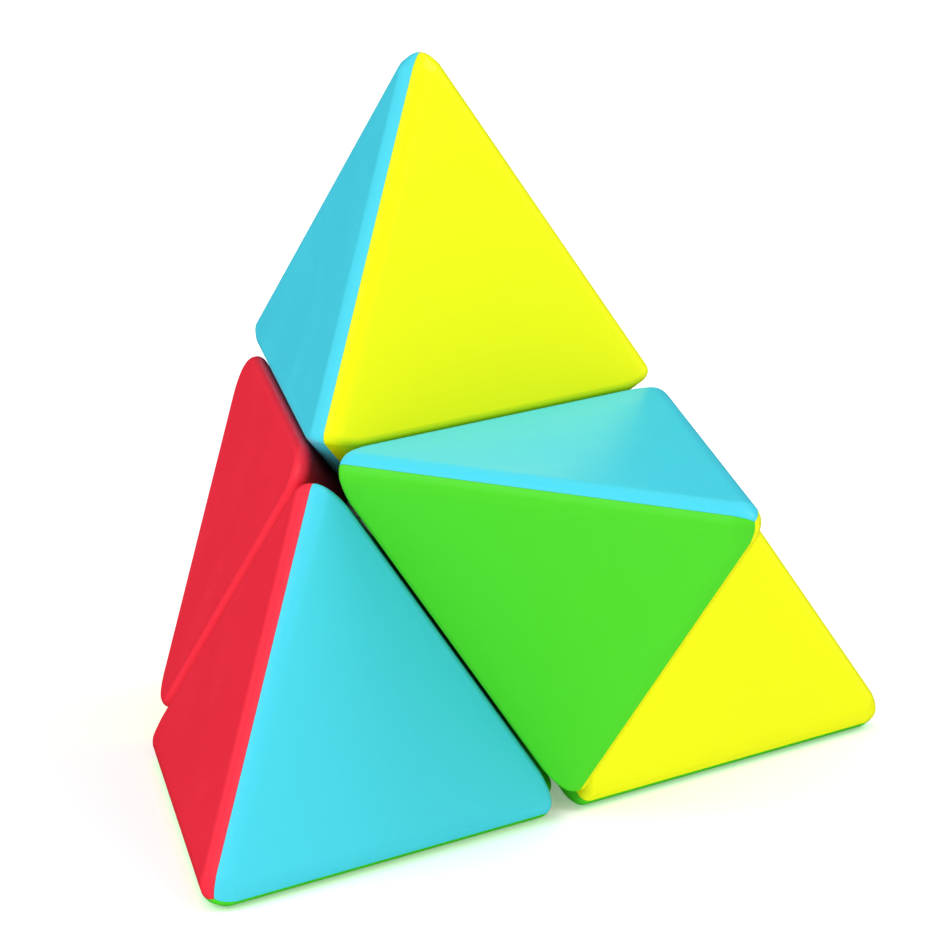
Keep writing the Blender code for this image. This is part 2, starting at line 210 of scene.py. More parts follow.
class Graph:
    """The shader graph of a material or of the world."""

    def __init__(self, owner: bpy.types.Material | bpy.types.World) -> None:
        """Empty the owner's node tree and start its graph.

        Args:
            owner: The material or world.
        """
        owner.use_nodes = True
        self.tree = owner.node_tree
        self.tree.nodes.clear()

    def add(
        self, kind: str, settings: dict[str, Any], inputs: dict[str | int, Any]
    ) -> bpy.types.Node:
        """Add a node, set it up and link it.

        Args:
            kind: The node's type.
            settings: Its properties, set before its sockets. A list under "ramp" holds
                a colour ramp's two stops as pairs of position and grey level.
            inputs: What goes into its sockets: values to link, or numbers and colours.

        Returns:
            The node.
        """
        made = self.tree.nodes.new(kind)
        for name, setting in settings.items():
            if name == "ramp":
                self._set_ramp(made.color_ramp, setting)
            else:
                setattr(made, name, setting)
        for name, given in inputs.items():
            if isinstance(given, Value):
                self.tree.links.new(given.socket, made.inputs[name])
            else:
                made.inputs[name].default_value = given
        return made

    def node(
        self,
        kind: str,
        settings: dict[str, Any] | None = None,
        inputs: dict[str | int, Any] | None = None,
        output: str | int = 0,
    ) -> Value:
        """Add a node and return one of its outputs.

        Args:
            kind: The node's type.
            settings: Its properties, or a ramp's stops under "ramp".
            inputs: What goes into its sockets.
            output: Which of its outputs to return.

        Returns:
            The output as a value.
        """
        made = self.add(kind, settings or {}, inputs or {})
        return Value(self, made.outputs[output])

    @staticmethod
    def _set_ramp(ramp: bpy.types.ColorRamp, stops: Sequence[tuple[float, float]]) -> None:
        """Set the two stops of a ramp to grey levels.

        Args:
            ramp: The ramp.
            stops: Pairs of position and grey level.
        """
        for stop, (position, level) in zip(ramp.elements, stops):
            stop.position = position
            stop.color = (level, level, level, 1.0)

    def position(self, scale: tuple[float, float, float] = (1.0, 1.0, 1.0)) -> Value:
        """Give the place on the object, in metres, stretched by a scale."""
        place = self.node("ShaderNodeTexCoord", output="Object")
        return self.node("ShaderNodeMapping", inputs={"Vector": place, "Scale": scale})

    def noise(self, cell: float, detail: float = 2.0, at: Value | None = None) -> Value:
        """Give noise from 0 to 1 whose cells have a size in metres."""
        inputs = {"Vector": at or self.position(), "Scale": 1.0 / cell, "Detail": detail}
        return self.node("ShaderNodeTexNoise", inputs=inputs)

    def noises(self, coarse: float, fine: float) -> Value:
        """Mix a coarse and a fine noise, each given by the size of its cells."""
        return self.noise(coarse) * COARSE_SHARE + self.noise(fine) * (1.0 - COARSE_SHARE)

    def step(self, value: Value, start: float, end: float) -> Value:
        """Rise straight from 0 to 1 as a value goes from one number to another."""
        settings = {"ramp": [(start, 0.0), (end, 1.0)]}
        return self.node("ShaderNodeValToRGB", settings, {"Fac": value})

    def along(self, vector: Value, direction: Sequence[float]) -> Value:
        """Give how far a vector reaches along a direction."""
        settings = {"operation": "DOT_PRODUCT"}
        return self.node("ShaderNodeVectorMath", settings, {0: vector, 1: direction}, "Value")

    def ease(self, value: Any, start: float, end: float) -> Value:
        """Ease from 0 to 1 as a value goes from one number to another."""
        inputs = {"Value": value, "From Min": start, "From Max": end}
        return self.node("ShaderNodeMapRange", {"interpolation_type": "SMOOTHSTEP"}, inputs)

    def mix(self, share: Any, first: Any, second: Any) -> Value:
        """Mix two colours by a share of the second."""
        inputs = dict(zip(MIX_INPUTS, (share, first, second)))
        return self.node("ShaderNodeMix", {"data_type": "RGBA"}, inputs, MIX_OUTPUT)

    def finish(self, **sockets: Any) -> None:
        """End the graph in a Principled shader.

        Args:
            sockets: What goes into its sockets, by their names in lower case with
                underscores.
        """
        named = {
            name.replace("_", " ").title().replace("Ior", "IOR"): given
            for name, given in sockets.items()
        }
        shader = self.node("ShaderNodeBsdfPrincipled", inputs=named)
        self.add("ShaderNodeOutputMaterial", {}, {"Surface": shader})


def linear(colour: tuple[float, float, float]) -> tuple[float, float, float, float]:
    """Turn an sRGB colour into the linear colour that shaders take."""
    return (*Color(colour).from_srgb_to_scene_linear(), 1.0)


# Finishes


@dataclass(frozen=True)
class MouldedPlastic:
    """Satin plastic moulded in its colour, faintly uneven and handled.

    Cells are the sizes of a noise's patches, an edge is the pair of levels between which a
    mark appears, and a run is how the place is stretched along each axis.
    """

    slot: str
    colour: tuple[float, float, float]
    roughness: float = 0.32
    shine: float = 0.25
    mottle: float = 0.03
    peel: float = 0.03
    handling: float = 0.08
    drift_cells: tuple[float, float] = (18.0 * MM, 2.5 * MM)
    smudge_cell: float = 9.0 * MM
    smudge_edge: tuple[float, float] = (0.45, 0.75)
    hairline_cell: float = 1.0 * MM
    hairline_run: tuple[float, float, float] = (1.0, 0.08, 0.35)
    hairline_edge: tuple[float, float] = (0.62, 0.72)
    skin_cells: tuple[float, float] = (0.9 * MM, 0.22 * MM)
    skin_depth: float = 0.1 * MM

    def make(self) -> bpy.types.Material:
        """Make the material.

        Returns:
            A material whose colour drifts a little, with a fine moulded skin, and with
            hairlines and smudges from handling in its gloss.
        """
        material = bpy.data.materials.new(f"{self.slot}_finish")
        graph = Graph(material)
        base = linear(self.colour)
        deep = (*(channel * (1.0 - self.mottle) for channel in base[:3]), 1.0)
        smudge = graph.step(graph.noise(self.smudge_cell, detail=4.0), *self.smudge_edge)
        lines = graph.noise(self.hairline_cell, at=graph.position(self.hairline_run))
        hairline = graph.step(lines, *self.hairline_edge)
        gloss = smudge * self.handling + hairline * (self.handling / 2.0) + self.roughness
        skin = graph.noises(*self.skin_cells)
        bump = {"Strength": self.peel, "Distance": self.skin_depth, "Height": skin}
        graph.finish(
            base_color=graph.mix(graph.noises(*self.drift_cells), base, deep),
            roughness=gloss,
            specular_ior_level=self.shine,
            normal=graph.node("ShaderNodeBump", inputs=bump),
        )
        return material


@dataclass(frozen=True)
class DrawnSteel:
    """Plated or drawn steel, with fine lines and dull patches.

    Cells are the sizes of a noise's patches, a run is how the place is stretched along each
    axis, and depths are how much each noise adds to the roughness.
    """

    slot: str
    colour: tuple[float, float, float]
    roughness: float = 0.25
    dullness: float = 0.3
    line_cell: float = 0.4 * MM
    line_run: tuple[float, float, float] = (1.0, 1.0, 0.1)
    line_depth: float = 0.15
    patch_cell: float = 1.5 * MM
    patch_depth: float = 0.1

    def make(self) -> bpy.types.Material:
        """Make the material.

        Returns:
            A metal whose roughness and tone vary in fine lines.
        """
        material = bpy.data.materials.new(f"{self.slot}_finish")
        graph = Graph(material)
        base = linear(self.colour)
        dull = (*(channel * (1.0 - self.dullness) for channel in base[:3]), 1.0)
        lines = graph.noise(self.line_cell, at=graph.position(self.line_run))
        patches = graph.noise(self.patch_cell, detail=3.0)
        graph.finish(
            base_color=graph.mix(patches, base, dull),
            metallic=1.0,
            roughness=lines * self.line_depth + patches * self.patch_depth + self.roughness,
        )
        return material


# Every finish, with its sRGB colour
FINISHES = (
    MouldedPlastic("yellow_plastic", (0.95, 0.965, 0.02)),
    MouldedPlastic("cyan_plastic", (0.315, 0.845, 0.925)),
    MouldedPlastic("green_plastic", (0.345, 0.86, 0.18)),
    MouldedPlastic("red_plastic", (0.965, 0.198, 0.288)),
    MouldedPlastic("black_plastic", (0.06, 0.06, 0.065), roughness=0.42, peel=0.1),
    DrawnSteel("screw_steel", (0.66, 0.66, 0.68)),
    DrawnSteel("spring_steel", (0.72, 0.71, 0.68), roughness=0.2),
)


class Paints:
    """Every finish's material, made once and found by its slot."""

    def __init__(self) -> None:
        """Make every material."""
        self.materials = {finish.slot: finish.make() for finish in FINISHES}

    def put(self, piece: bpy.types.Object, slot: str) -> None:
        """Give a piece the material of a slot, and nothing else."""
        piece.data.materials.clear()
        piece.data.materials.append(self.materials[slot])


# Solids in puzzle axes


class Solid:
    """A closed shape being made in puzzle axes."""

    def __init__(self) -> None:
        """Start an empty shape."""
        self.bm = bmesh.new()

    @classmethod
    def block(cls, planes: Iterable[Plane]) -> "Solid":
        """Make the convex block that lies below every plane.

        Args:
            planes: Pairs of a normal and a distance from the centre along it.

        Returns:
            The block.
        """
        solid = cls()
        stock_size = 4.0 * PUZZLE.half_cube
        bmesh.ops.create_cube(solid.bm, size=stock_size)
        return solid.cut(planes)

    @classmethod
    def ball(cls, radius: float) -> "Solid":
        """Make a ball about the centre, turned half a step so that no meridian is in a cut.

        Args:
            radius: Its radius.

        Returns:
            The ball.
        """
        solid = cls()
        bmesh.ops.create_uvsphere(
            solid.bm,
            u_segments=BALL_SEGMENTS,
            v_segments=BALL_SEGMENTS // 2,
            radius=radius,
            matrix=Matrix.Rotation(math.pi / BALL_SEGMENTS, 4, "Z"),
        )
        return solid

    @classmethod
    def rod(cls, along: Vector, radius: float, start: float, end: float) -> "Solid":
        """Make a round rod between two distances from the centre.

        Args:
            along: Its direction from the centre.
            radius: Its radius.
            start: Where it starts.
            end: Where it ends.

        Returns:
            The rod.
        """
        direction = along.normalized()
        turn = AXES[2].rotation_difference(direction).to_matrix().to_4x4()
        solid = cls()
        bmesh.ops.create_cone(
            solid.bm,
            cap_ends=True,
            segments=ROD_SEGMENTS,
            radius1=radius,
            radius2=radius,
            depth=end - start,
            matrix=Matrix.Translation(direction * (start + end) / 2.0) @ turn,
        )
        return solid

    @classmethod
    def bar(cls, size: Vector, centre: Vector) -> "Solid":
        """Make a rectangular bar.

        Args:
            size: Its size along each axis.
            centre: The place of its middle.

        Returns:
            The bar.
        """
        solid = cls()
        placed = Matrix.Translation(centre) @ Matrix.Diagonal((*size, 1.0))
        bmesh.ops.create_cube(solid.bm, size=1.0, matrix=placed)
        return solid

    @classmethod
    def of_rings(cls, rings: Sequence[Sequence[Vector]]) -> "Solid":
        """Make a closed shape from rings of points, with a flat end at each of its ends.

        Args:
            rings: Rings of equally many points, each next to the one before.

        Returns:
            The shape.
        """
        solid = cls()
        loops = [[solid.bm.verts.new(point) for point in ring] for ring in rings]
        for before, after in zip(loops, loops[1:]):
            for index in range(len(before)):
                corners = (before[index - 1], before[index], after[index], after[index - 1])
                solid.bm.faces.new(corners)
        solid.bm.faces.new(loops[0])
        solid.bm.faces.new(loops[-1])
        return solid

    @classmethod
    def of_mesh(cls, mesh: bpy.types.Mesh) -> "Solid":
        """Start from a copy of a mesh.

        Args:
            mesh: The mesh.

        Returns:
            The shape.
        """
        solid = cls()
        solid.bm.from_mesh(mesh)
        return solid

    def cut(self, planes: Iterable[Plane]) -> "Solid":
        """Keep what lies below every plane, and close each cut.

        Args:
            planes: Pairs of a normal and a distance from the centre along it.

        Returns:
            This solid.
        """
        for normal, distance in planes:
            direction = normal.normalized()
            whole = self.bm.verts[:] + self.bm.edges[:] + self.bm.faces[:]
            result = bmesh.ops.bisect_plane(
                self.bm,
                geom=whole,
                dist=CUT_DISTANCE,
                plane_co=direction * distance,
                plane_no=direction,
                clear_outer=True,
            )
            rim = [part for part in result["geom_cut"] if isinstance(part, bmesh.types.BMEdge)]
            bmesh.ops.holes_fill(self.bm, edges=rim, sides=0)
        return self

    def wrapped(self, radius: float, cuts: int) -> "Solid":
        """Wrap a convex shape in a skin of even thickness, which rounds all its edges.

        Args:
            radius: The thickness of the skin, and so the radius of its edges.
            cuts: How finely the balls at its corners are made.

        Returns:
            The hull of the balls, with its flat sides in one face each.
        """
        points = ball_points(radius, cuts)
        skin = Solid()
        for corner in self.bm.verts:
            for point in points:
                skin.bm.verts.new(corner.co + point)
        hull = bmesh.ops.convex_hull(skin.bm, input=skin.bm.verts)
        inside = set(hull["geom_interior"]) | set(hull["geom_unused"])
        bmesh.ops.delete(skin.bm, geom=list(inside), context="VERTS")
        bmesh.ops.dissolve_limit(
            skin.bm, angle_limit=FLAT_ANGLE, verts=skin.bm.verts, edges=skin.bm.edges
        )
        return skin

    def to_mesh(self, name: str) -> bpy.types.Mesh:
        """Make a mesh of the shape, its faces pointing out, and end the shape.

        Args:
            name: The mesh's name.

        Returns:
            The mesh.
        """
        bmesh.ops.remove_doubles(self.bm, verts=self.bm.verts, dist=MERGE_DISTANCE)
        bmesh.ops.recalc_face_normals(self.bm, faces=self.bm.faces)
        mesh = bpy.data.meshes.new(name)
        self.bm.to_mesh(mesh)
        self.bm.free()
        return mesh


def ball_points(radius: float, cuts: int) -> list[Vector]:
    """Give points all over a ball, with the cube's corner and side directions among them.

    Args:
        radius: The ball's radius.
        cuts: How often each edge of the cube that becomes the ball is cut, an odd number.

    Returns:
        The points.
    """
    cube = bmesh.new()
    bmesh.ops.create_cube(cube, size=1.0)
    bmesh.ops.subdivide_edges(cube, edges=cube.edges, cuts=cuts, use_grid_fill=True)
    points = [vert.co.normalized() * radius for vert in cube.verts]
    cube.free()
    return points


def link(name: str, shape: bpy.types.Mesh | bpy.types.Curve) -> bpy.types.Object:
    """Put a mesh or curve into the scene as an object at the origin.

    Args:
        name: The object's name.
        shape: The mesh or curve.

    Returns:
        The object.
    """
    made = bpy.data.objects.new(name, shape)
    bpy.context.scene.collection.objects.link(made)
    return made


def applied(made: bpy.types.Object) -> bpy.types.Mesh:
    """Apply an object's modifiers to a new mesh, and remove the object.

    Args:
        made: The object.

    Returns:
        The mesh.
    """
    evaluated = made.evaluated_get(bpy.context.evaluated_depsgraph_get())
    mesh = bpy.data.meshes.new_from_object(evaluated)
    bpy.data.objects.remove(made, do_unlink=True)
    return mesh


def combined(base: Solid, joined: Iterable[Solid], cutters: Iterable[Solid]) -> bpy.types.Mesh:
    """Join solids to another and then cut others out of it.

    Args:
        base: The solid to start from.
        joined: The solids to join to it.
        cutters: The solids to cut out.

    Returns:
        The mesh of the result.
    """
    made = link("combined", base.to_mesh("combined"))
    steps = [("UNION", solid) for solid in joined] + [("DIFFERENCE", solid) for solid in cutters]
    tools = []
    for operation, solid in steps:
        tool = link("tool", solid.to_mesh("tool"))
        modifier = made.modifiers.new("Combine", "BOOLEAN")
        modifier.operation = operation
        modifier.object = tool
        tools.append(tool)
    result = applied(made)
    for tool in tools:
        bpy.data.objects.remove(tool, do_unlink=True)
    return result


def stand_in(
    name: str, mesh: bpy.types.Mesh, turn: Matrix, slot: str, paints: Paints, node: str
) -> bpy.types.Object:
    """Place a piece, give it its finish, and let it stand for a CAD node.

    Args:
        name: The piece's name.
        mesh: The shape of its kind, in puzzle axes.
        turn: The turn that takes the kind to this piece.
        slot: The slot of its finish.
        paints: The materials.
        node: The CAD node that it stands for.

    Returns:
        The piece.
    """
    own = mesh.copy()
    own.name = name
    own.transform(PUZZLE.to_world(turn))
    own.shade_smooth()
    own.set_sharp_from_angle(angle=SMOOTH_ANGLE)
    piece = link(name, own)
    paints.put(piece, slot)
    weighting = piece.modifiers.new("Flat sides", "WEIGHTED_NORMAL")
    weighting.keep_sharp = True
    weighting.weight = FLAT_WEIGHT
    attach(piece, frame["nodes"][node]["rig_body"])
    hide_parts(node)
    return piece


def beyond(distance: float) -> list[Plane]:
    """Planes that keep what is beyond a distance along all three axes."""
    return [(-axis, -distance) for axis in AXES]


def rounded_octant(gap: float, radius: float, segments: int) -> list[Plane]:
    """Planes that keep the octant beyond a gap, with its three edges rounded.

    Args:
        gap: How far the octant's flat sides stand from the axes' planes.
        radius: The radius of its edges.
        segments: How many steps each edge turns in.

    Returns:
        The planes.
    """
    planes = beyond(gap)
    for first, second in AXIS_PAIRS:
        for step in range(1, segments):
            angle = math.pi / 2.0 * step / segments
            normal = AXES[first] * math.cos(angle) + AXES[second] * math.sin(angle)
            reach = (gap + radius) * (math.cos(angle) + math.sin(angle)) - radius
            planes.append((-normal, -reach))
    return planes


def turn_to(images: Sequence[Vector]) -> Matrix:
    """Turn the puzzle's x, y and z directions to the given ones."""
    return Matrix(images).transposed().to_4x4()


def side_name(sign: int) -> str:
    """Say which end of an axis a sign means."""
    return "plus" if sign > 0 else "minus"


def octant_turn(signs: Signs, plane_axis: int = 1) -> Matrix:
    """Turn the + + + octant to another, and its y plane to a chosen axis's plane.

    The pieces are alike on both sides of their diagonal, so the x and z directions change
    places where the other octant is a mirror image.

    Args:
        signs: The signs of the octant to turn to.
        plane_axis: The axis whose plane the y plane turns to.

    Returns:
        The turn about the centre.
    """
    first, last = (axis for axis in range(3) if axis != plane_axis)
    images = [signs[axis] * AXES[axis] for axis in (first, plane_axis, last)]
    if Matrix(images).determinant() < 0:
        images.reverse()
    return turn_to(images)


# Moulded pieces


def is_outer_side(normal: Vector) -> bool:
    """Tell whether a face is one of the puzzle's flat outer sides."""
    slope = DIAGONAL.normalized().x
    return all(abs(abs(part) - slope) < NORMAL_TOLERANCE for part in normal)


@dataclass
class Moulding:
    """Sizes that every coloured moulding shares, and how it is rounded."""

    running_gap: float = RUNNING_GAP
    outer_radius: float = 2.2 * MM
    inner_radius: float = 4.2 * MM
    edge_radius: float = 0.9 * MM
    wall: float = 1.8 * MM
    cavity_radius: float = 15.9 * MM
    outer_segments: int = 10
    inner_segments: int = 10
    ball_cuts: int = 5

    def rounded(self, outer: Solid) -> Solid:
        """Cut a solid to its octant and round everything.

        Args:
            outer: The solid inside the puzzle's outer sides, an edge radius too small all
                round.

        Returns:
            The rounded piece.
        """
        gap = self.running_gap / 2.0 + self.edge_radius
        radius = self.inner_radius - self.edge_radius
        outer.cut(rounded_octant(gap, radius, self.inner_segments))
        bmesh.ops.remove_doubles(outer.bm, verts=outer.bm.verts, dist=MERGE_DISTANCE)
        return outer.wrapped(self.edge_radius, self.ball_cuts)


@dataclass
class CornerPieces(Moulding):
    """The four corner pieces, each with three coloured sides clipped together."""

    seam: float = 0.02 * MM

    def outer_planes(self, inset: float) -> list[Plane]:
        """Give the three outer sides of the + + + piece, moved inwards."""
        directions = (Vector((-1, 1, 1)), Vector((1, -1, 1)), Vector((1, 1, -1)))
        return [(direction, PUZZLE.inradius - inset) for direction in directions]

    def outer_body(self) -> Solid:
        """Make the space inside the + + + piece's outer sides, an edge radius too small.

        Returns:
            The space, with the edges between the outer sides rounded.
        """
        body = Solid.block(self.outer_planes(self.edge_radius))
        bmesh.ops.recalc_face_normals(body.bm, faces=body.bm.faces)
        edges = [
            edge
            for edge in body.bm.edges
            if all(is_outer_side(face.normal) for face in edge.link_faces)
        ]
        bmesh.ops.bevel(
            body.bm,
            geom=edges,
            offset=(self.outer_radius - self.edge_radius) * math.sqrt(2.0),
            offset_type="OFFSET",
            segments=self.outer_segments,
            profile=0.5,
            affect="EDGES",
            material=-1,
        )
        return body

    def side_mesh(self) -> bpy.types.Mesh:
        """Make one coloured side: an outer face folded in along the y plane.

        Returns:
            The side's mesh, hollow behind.
        """
        body = self.rounded(self.outer_body())
        third = [(AXES[1] - AXES[0], -self.seam / 2.0), (AXES[1] - AXES[2], -self.seam / 2.0)]
        hollow = Solid.block(self.outer_planes(self.wall)).cut(
            rounded_octant(self.wall, self.inner_radius - self.wall, self.inner_segments)
        )
        return combined(body.cut(third), [], [hollow, Solid.ball(self.cavity_radius)])

    def build(self, paints: Paints) -> list[bpy.types.Object]:
        """Make every coloured side of the four corner pieces.

        Args:
            paints: The materials.

        Returns:
            The pieces.
        """
        side = self.side_mesh()
        made = []
        for corner, (signs, hues) in CORNERS.items():
            for axis, hue in enumerate(hues):
                name = f"{corner}_{hue.value}"
                turn = octant_turn(signs, plane_axis=axis)
                node = f"{name}_side"
                made.append(stand_in(f"{name}_shell", side, turn, hue.slot, paints, node))
        return made


@dataclass
class PanelPieces(Moulding):
    """The four panel pieces, each one coloured moulding with a single outer side."""

    def panel_mesh(self) -> bpy.types.Mesh:
        """Make the + + + panel: a flat side over three joint faces, hollowed by the cavity."""
        body = self.rounded(Solid.block([(DIAGONAL, PUZZLE.inradius - self.edge_radius)]))
        return combined(body, [], [Solid.ball(self.cavity_radius)])

    def build(self, paints: Paints) -> list[bpy.types.Object]:
        """Make the four panels.

        Args:
            paints: The materials.

        Returns:
            The pieces.
        """
        panel = self.panel_mesh()
        made = []
        for node, (signs, hue) in PANELS.items():
            turn = octant_turn(signs)
            made.append(stand_in(f"{node}_shell", panel, turn, hue.slot, paints, node))
        return made


@dataclass
class Layers:
    """The two spherical layers that the mechanism's pieces lie in, and how they are cut."""

    running_gap: float = RUNNING_GAP
    outer_radius: float = 15.5 * MM
    middle_radius: float = 12.0 * MM
    inner_radius: float = 8.5 * MM
    outer_cut: float = 5.2 * MM
    inner_cut: float = 3.4 * MM
    neck_inset: float = 0.05 * MM

    @staticmethod
    def cell(planes: Iterable[Plane], inner: float, outer: float) -> Solid:
        """Make the part of a spherical layer that lies below every plane.

        Args:
            planes: The planes.
            inner: The layer's inner radius.
            outer: The layer's outer radius.

        Returns:
            The cell.
        """
        whole = Solid.ball(outer).cut(planes)
        return Solid.of_mesh(combined(whole, [], [Solid.ball(inner)]))

    def linked_cells(
        self,
        far: Sequence[int],
        near: Sequence[int],
        joined: Iterable[Solid] = (),
        cutters: Iterable[Solid] = (),
    ) -> bpy.types.Mesh:
        """Make a mechanism piece: a cell in each layer and the neck that links them.

        Args:
            far: The axes along which it lies beyond the layers' cuts.
            near: The axes along which it lies within them.
            joined: More solids to join to it.
            cutters: Solids to cut out of it.

        Returns:
            The piece's mesh.
        """
        half_gap = self.running_gap / 2.0
        outer = self._bounds(far, near, self.outer_cut + half_gap, self.outer_cut - half_gap)
        inner = self._bounds(far, near, self.inner_cut + half_gap, self.inner_cut - half_gap)
        neck = self._bounds(
            far,
            near,
            self.outer_cut + half_gap + self.neck_inset,
            self.inner_cut - half_gap - self.neck_inset,
        )
        reach = 2.0 * self.running_gap
        return combined(
            self.cell(outer, self.middle_radius + half_gap, self.outer_radius),
            [
                self.cell(inner, self.inner_radius, self.middle_radius - half_gap),
                self.cell(neck, self.middle_radius - reach, self.middle_radius + reach),
                *joined,
            ],
            cutters,
        )

    @staticmethod
    def _bounds(
        far: Sequence[int], near: Sequence[int], least: float, most: float
    ) -> list[Plane]:
        """Give the planes of a cell.

        Args:
            far: The axes along which it lies beyond a distance.
            near: The axes along which it lies within a distance.
            least: The distance for the far axes.
            most: The distance for the near axes.

        Returns:
            The planes.
        """
        planes = [(-AXES[axis], -least) for axis in far]
        return planes + [(sign * AXES[axis], most) for axis in near for sign in (1, -1)]


@dataclass
class CentreParts(Layers):
    """The core, and at each of its six ends a centre cap, a screw and a spring."""

    core_radius: float = 5.5 * MM
    post_radius: float = 2.6 * MM
    post_end: float = 7.7 * MM
    hole_radius: float = 1.4 * MM
    hole_floor: float = 3.7 * MM
    shank_radius: float = 1.1 * MM
    shank_tip: float = 4.0 * MM
    head_radius: float = 2.3 * MM
    head_floor: float = 13.4 * MM
    head_top: float = 14.9 * MM
    drive_width: float = 0.6 * MM
    drive_length: float = 2.8 * MM
    drive_depth: float = 0.6 * MM
    thread_pitch: float = 0.7 * MM
    thread_depth: float = 0.18 * MM
    thread_end: float = 9.5 * MM
    rings_per_pitch: int = 8
    pocket_radius: float = 2.6 * MM
    pocket_floor: float = 10.0 * MM
    wire_radius: float = 0.25 * MM
    coil_radius: float = 1.95 * MM
    coil_turns: float = 3.5
    points_per_turn: int = 32
    wire_fineness: int = 4

    def core_mesh(self) -> bpy.types.Mesh:
        """Make the ball at the centre, with six posts bored for the screws.

        Returns:
            The core's mesh.
        """
        ends = [sign * axis for axis in AXES for sign in (1, -1)]
        posts = [Solid.rod(end, self.post_radius, 0.0, self.post_end) for end in ends]
        top = self.post_end + self.running_gap
        holes = [Solid.rod(end, self.hole_radius, self.hole_floor, top) for end in ends]
        return combined(Solid.ball(self.core_radius), posts, holes)

    def cap_mesh(self) -> bpy.types.Mesh:
        """Make the centre cap on the +x axis.

        Returns:
            The cap's mesh, with its screw's bore and its spring's pocket.
        """
        top = self.outer_radius + self.running_gap
        bore = Solid.rod(AXES[0], self.hole_radius, self.core_radius, top)
        pocket = Solid.rod(AXES[0], self.pocket_radius, self.pocket_floor, top)
        return self.linked_cells((0,), (1, 2), cutters=[bore, pocket])

    def screw_mesh(self) -> bpy.types.Mesh:
        """Make the screw along +x.

        Returns:
            The screw's mesh: a threaded shank and a head with a cross recess.
        """
        shank = self._threaded_shank()
        head = Solid.rod(AXES[0], self.head_radius, self.head_floor, self.head_top)
        # The bars stand half out of the head's top, so they are twice as high as the recess
        place = AXES[0] * self.head_top
        height = 2.0 * self.drive_depth
        slots = [
            Solid.bar(Vector((height, self.drive_length, self.drive_width)), place),
            Solid.bar(Vector((height, self.drive_width, self.drive_length)), place),
        ]
        return combined(head, [shank], slots)

    def _threaded_shank(self) -> Solid:
        """Make the screw's shank, whose thread fades out towards the head.

        Returns:
            The shank.
        """
        end = self.head_floor + self.running_gap
        count = math.ceil((end - self.shank_tip) / self.thread_pitch * self.rings_per_pitch)
        rings = []
        for step in range(count + 1):
            place = self.shank_tip + (end - self.shank_tip) * step / count
            fade = min(1.0, max(0.0, (self.thread_end - place) / self.thread_pitch))
            ring = []
            for index in range(self.points_per_turn):
                share = index / self.points_per_turn
                phase = (place / self.thread_pitch - share) % 1.0
                # The groove is deepest where a turn starts and ends, and gone half-way
                groove = self.thread_depth * fade * abs(1.0 - 2.0 * phase)
                radius = self.shank_radius - groove
                angle = share * math.tau
                ring.append(Vector((place, radius * math.cos(angle), radius * math.sin(angle))))
            rings.append(ring)
        return Solid.of_rings(rings)

    def spring_mesh(self) -> bpy.types.Mesh:
        """Make the coil spring round the screw along +x.

        Returns:
            The spring's mesh, from the bottom of its pocket to the screw's head.
        """
        bottom = self.pocket_floor + self.running_gap + self.wire_radius
        top = self.head_floor - self.running_gap - self.wire_radius
        curve = bpy.data.curves.new("spring", "CURVE")
        curve.dimensions = "3D"
        curve.bevel_depth = self.wire_radius
        curve.bevel_resolution = self.wire_fineness
        curve.use_fill_caps = True
        spline = curve.splines.new("POLY")
        count = int(self.coil_turns * self.points_per_turn)
        spline.points.add(count)
        for index, point in enumerate(spline.points):
            share = index / count
            angle = share * self.coil_turns * math.tau
            y, z = math.cos(angle) * self.coil_radius, math.sin(angle) * self.coil_radius
            point.co = (bottom + (top - bottom) * share, y, z, 1.0)
        return Solid.of_mesh(applied(link("spring", curve))).to_mesh("spring")

    def build(self, paints: Paints) -> list[bpy.types.Object]:
        """Make the core, and what stands at each of its ends.

        Args:
            paints: The materials.

        Returns:
            The pieces.
        """
        kinds = {
            "centre_cap": (self.cap_mesh(), "black_plastic"),
            "screw": (self.screw_mesh(), "screw_steel"),
            "spring": (self.spring_mesh(), "spring_steel"),
        }
        core = self.core_mesh()
        made = [stand_in("core_body", core, Matrix(), "black_plastic", paints, "core")]
        for axis, axis_name in enumerate(AXIS_NAMES):
            for sign in (1, -1):
                across = [AXES[(axis + 1) % 3], sign * AXES[(axis + 2) % 3]]
                turn = turn_to([sign * AXES[axis], *across])
                for kind, (mesh, slot) in kinds.items():
                    node = f"{kind}_{axis_name}_{side_name(sign)}"
                    made.append(stand_in(f"{node}_body", mesh, turn, slot, paints, node))
        return made


@dataclass
class HiddenEdges(Layers):
    """The twelve hidden edges between the centre caps."""

    def build(self, paints: Paints) -> list[bpy.types.Object]:
        """Make every hidden edge.

        Args:
            paints: The materials.

        Returns:
            The pieces.
        """
        mesh = self.linked_cells((0, 1), (2,))
        made = []
        for far in AXIS_PAIRS:
            for signs in ((1, 1), (1, -1), (-1, 1), (-1, -1)):
                images = [sign * AXES[axis] for axis, sign in zip(far, signs)]
                turn = turn_to([*images, images[0].cross(images[1])])
                ends = [f"{AXIS_NAMES[axis]}_{side_name(sign)}" for axis, sign in zip(far, signs)]
                node = "hidden_edge_" + "_".join(ends)
                piece = stand_in(f"{node}_body", mesh, turn, "black_plastic", paints, node)
                made.append(piece)
        return made


